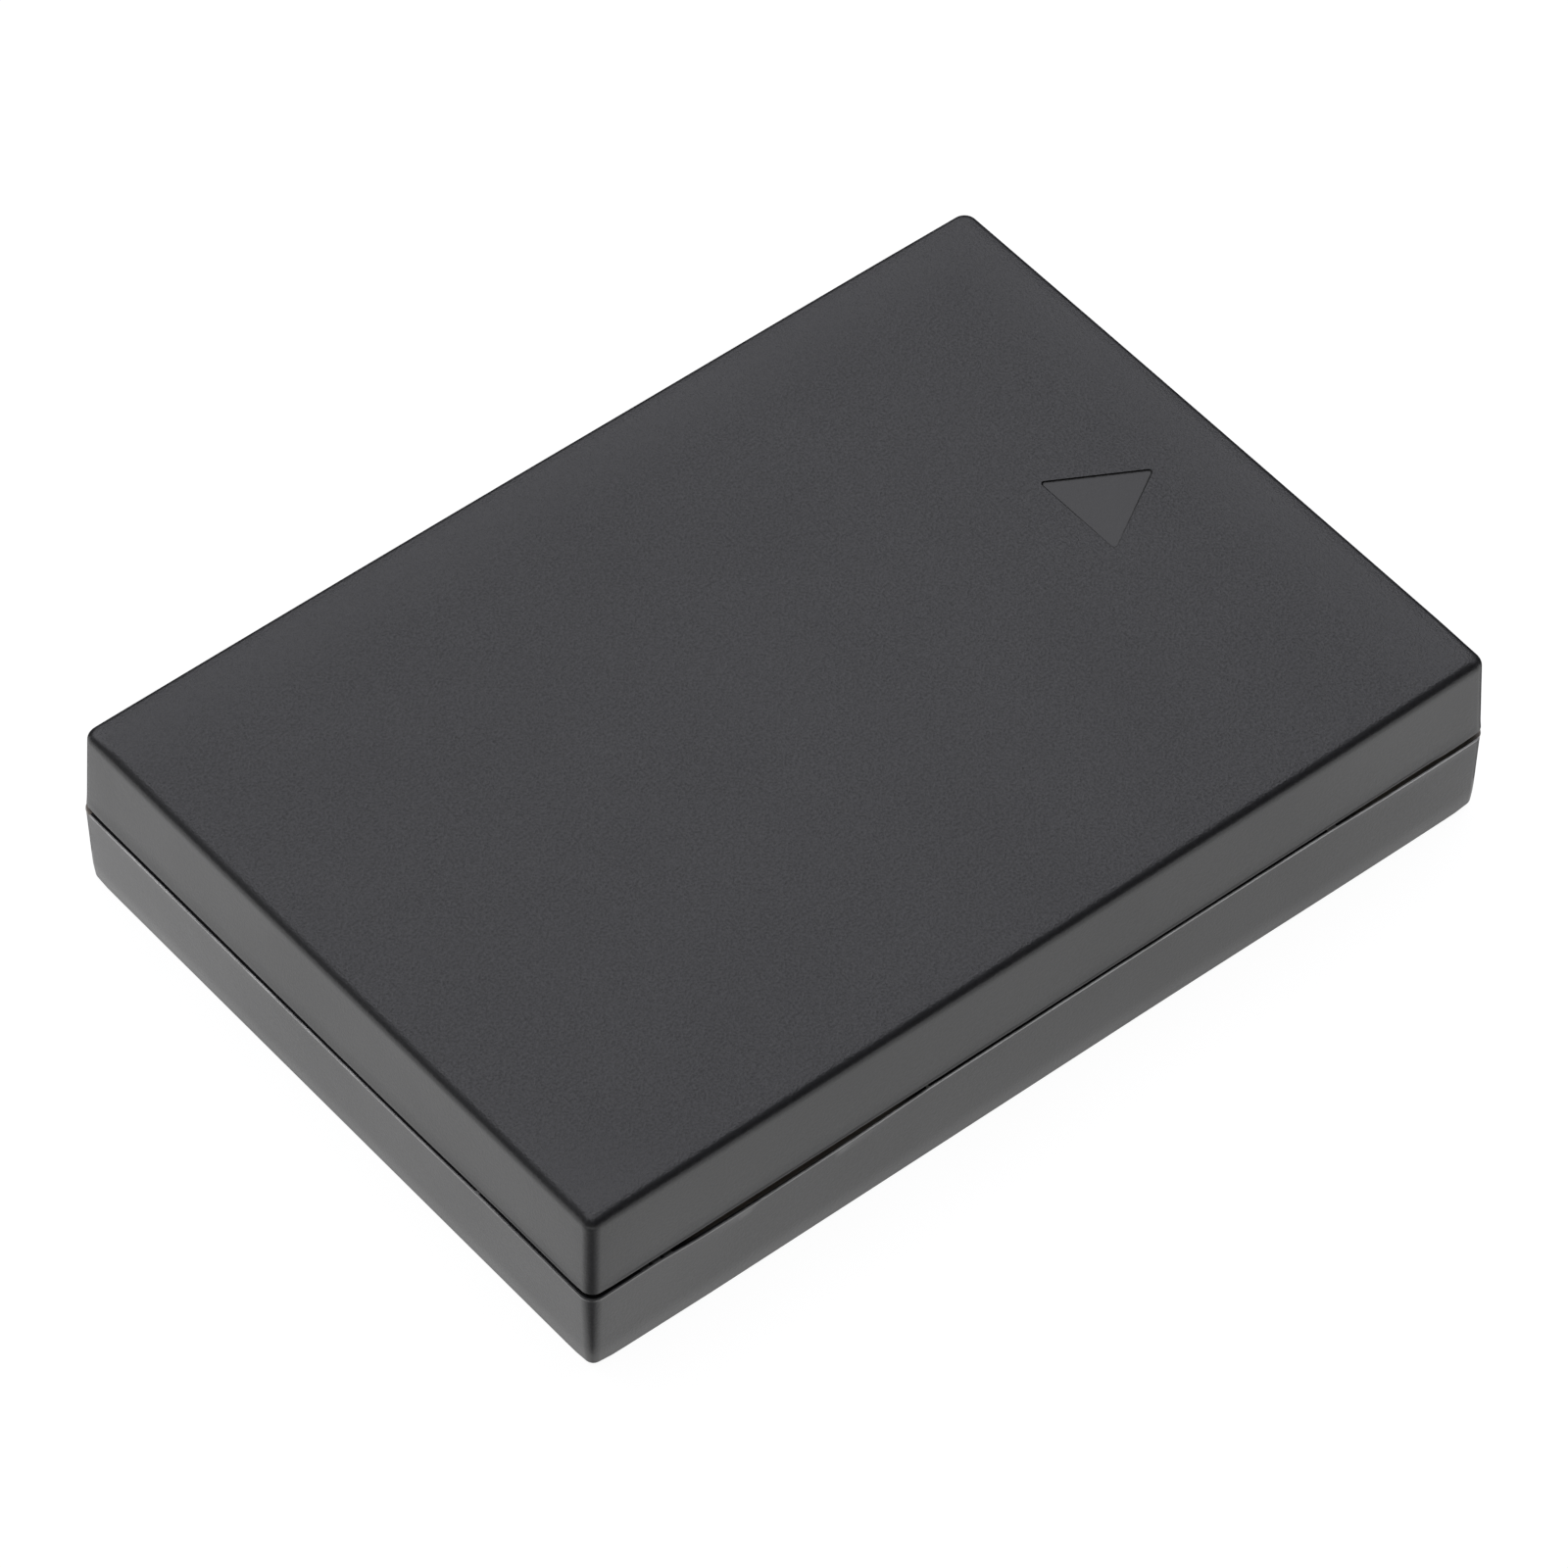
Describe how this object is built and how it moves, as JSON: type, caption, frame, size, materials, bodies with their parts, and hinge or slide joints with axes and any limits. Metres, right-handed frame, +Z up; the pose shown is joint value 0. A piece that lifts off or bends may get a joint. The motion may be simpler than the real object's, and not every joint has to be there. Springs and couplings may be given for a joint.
{
  "type": "camera battery",
  "caption": "Flat rectangular camera battery: dark plastic casing of two welded shells, arrow recess on top, gold contacts in end windows, cell and protection board inside.",
  "frame": {"origin": "middle of the underside", "axes": "+X along the length to the contact end, where the arrow points; +Y across the width; +Z up to the arrow face"},
  "size_m": [0.0454, 0.032, 0.0087],
  "materials": {
    "casing_plastic": "dark grey moulded plastic, fine grain on the faces, satin sides",
    "label_film": "plain grey film, matt, no print",
    "foam_tape": "white double-sided foam tape",
    "can_aluminium": "drawn aluminium, satin",
    "gasket_plastic": "natural moulded plastic",
    "nickel": "rolled nickel strip",
    "insulating_paper": "grey-green insulating paper",
    "fuse_body": "brown moulded body",
    "board_laminate": "green glass-fibre board with solder mask",
    "chip_moulding": "black moulded package",
    "capacitor_ceramic": "tan ceramic",
    "resistor_body": "black glazed film on ceramic",
    "thermistor_body": "dark blue-grey ceramic",
    "contact_gold": "gold plating, wiped by the spring pins"
  },
  "bodies": {
    "root": {"upper_shell": "casing_plastic", "lower_shell": "casing_plastic", "rating_label": "label_film", "upper_pad": "foam_tape", "lower_pad": "foam_tape", "cell_can": "can_aluminium", "terminal_gasket": "gasket_plastic", "cell_terminal": "nickel", "fill_plug": "can_aluminium", "end_insulator": "insulating_paper", "terminal_lead": "nickel", "thermal_fuse": "fuse_body", "fuse_lead": "nickel", "positive_tab": "nickel", "protection_board": "board_laminate", "switch_transistor": "chip_moulding", "protection_chip": "chip_moulding", "capacitors": "capacitor_ceramic", "resistors": "resistor_body", "thermistor": "thermistor_body", "contact_positive": "contact_gold", "contact_sense": "contact_gold", "contact_negative": "contact_gold"}
  },
  "joints": []
}
